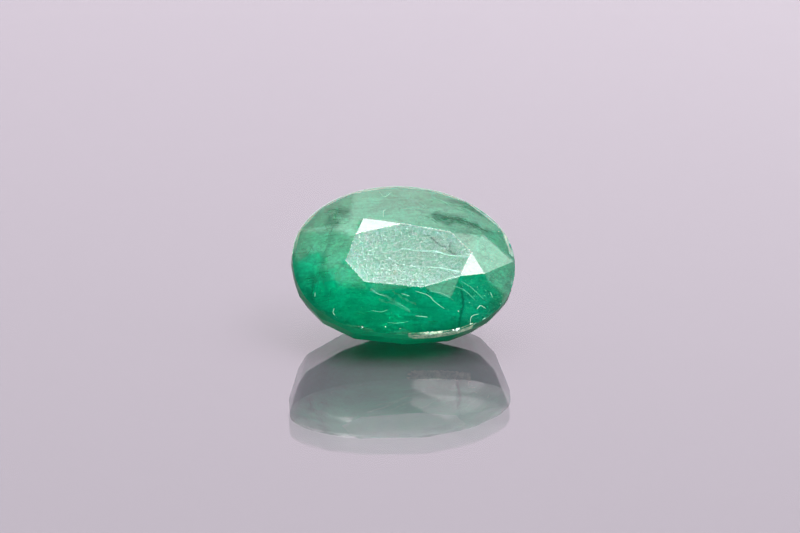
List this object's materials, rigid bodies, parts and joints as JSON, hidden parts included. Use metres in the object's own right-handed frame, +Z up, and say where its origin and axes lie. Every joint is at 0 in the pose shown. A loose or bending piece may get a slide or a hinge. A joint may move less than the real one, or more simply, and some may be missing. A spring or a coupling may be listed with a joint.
{
  "type": "faceted oval emerald gemstone",
  "caption": "Loose oval-cut emerald with an eight-sided table, brilliant crown and deep pavilion, cloudy green with natural inclusions, lying tilted on one pavilion facet",
  "frame": {"origin": "On the surface that the stone lies on, under the middle of its footprint", "axes": "+Z up, +X along the stone's length, table facing -Y and up"},
  "size_m": [0.014, 0.009, 0.0086],
  "materials": {
    "emerald": "polished, translucent green beryl with cloudy veils, dark inclusions and a frosted girdle"
  },
  "bodies": {
    "root": {"emerald": "emerald"}
  },
  "joints": []
}
